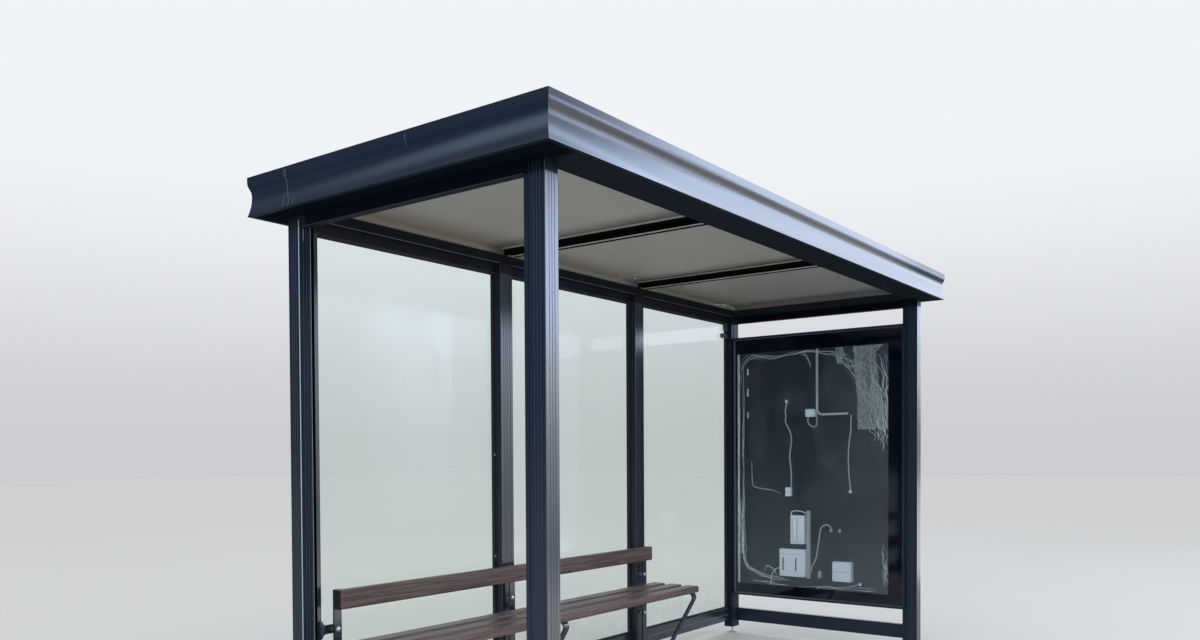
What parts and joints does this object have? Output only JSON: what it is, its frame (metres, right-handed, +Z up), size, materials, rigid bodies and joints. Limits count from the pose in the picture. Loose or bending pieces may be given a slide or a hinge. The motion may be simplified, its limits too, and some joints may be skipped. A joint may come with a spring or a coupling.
{
  "type": "bus shelter",
  "caption": "Open-fronted bus shelter with square posts, flat roof with a coved fascia, glazed back, slatted bench and a lit poster case across the right end.",
  "frame": {"origin": "middle of the roof's footprint, on the ground", "axes": "+X along the shelter towards the poster case, +Y towards the glazed back, +Z up"},
  "size_m": [4.18, 1.705, 2.565],
  "materials": {
    "frame_paint": "satin dark blue-grey powder coat",
    "soffit_paint": "satin near-black paint",
    "ceiling_sheet": "matt grey-beige sheet, dirty at its edges",
    "roof_sheet": "matt dark grey sheet",
    "clear_glass": "clear, smooth",
    "case_glass": "clear, with a black border and film left round it",
    "bead_rubber": "black",
    "unit_plastic": "pale grey",
    "lead_sheath": "grey",
    "slat_wood": "brown stain, worn at the edges",
    "bare_steel": "zinc plated"
  },
  "bodies": {
    "root": {"front_left_post": "frame_paint", "front_right_post": "frame_paint", "back_left_post": "frame_paint", "back_left_mid_post": "frame_paint", "back_right_mid_post": "frame_paint", "back_right_post": "frame_paint", "front_fascia": "frame_paint", "back_fascia": "frame_paint", "left_fascia": "frame_paint", "right_fascia": "frame_paint", "back_top_rails": "frame_paint", "left_top_rail": "frame_paint", "right_top_rail": "frame_paint", "back_bottom_rails": "frame_paint", "right_bottom_rail": "frame_paint", "poster_case": "frame_paint", "poster_door_frame": "frame_paint", "bench_uprights": "frame_paint", "bench_legs": "frame_paint", "bench_gusset": "frame_paint", "front_roof_beam": "soffit_paint", "back_roof_beam": "soffit_paint", "left_roof_beam": "soffit_paint", "right_roof_beam": "soffit_paint", "ceiling_cross_bars": "soffit_paint", "front_soffit": "soffit_paint", "back_soffit": "soffit_paint", "left_soffit": "soffit_paint", "right_soffit": "soffit_paint", "left_ceiling": "ceiling_sheet", "middle_ceiling": "ceiling_sheet", "right_ceiling": "ceiling_sheet", "roof_deck": "roof_sheet", "back_left_glass": "clear_glass", "back_middle_glass": "clear_glass", "back_right_glass": "clear_glass", "poster_door_glass": "case_glass", "glazing_beads": "bead_rubber", "pane_clips": "bead_rubber", "poster_case_fittings": "unit_plastic", "poster_case_wiring": "lead_sheath", "ceiling_cable": "lead_sheath", "seat_slats": "slat_wood", "backrest_slat": "slat_wood", "levelling_feet": "bare_steel", "bench_spacers": "bare_steel"}
  },
  "joints": []
}
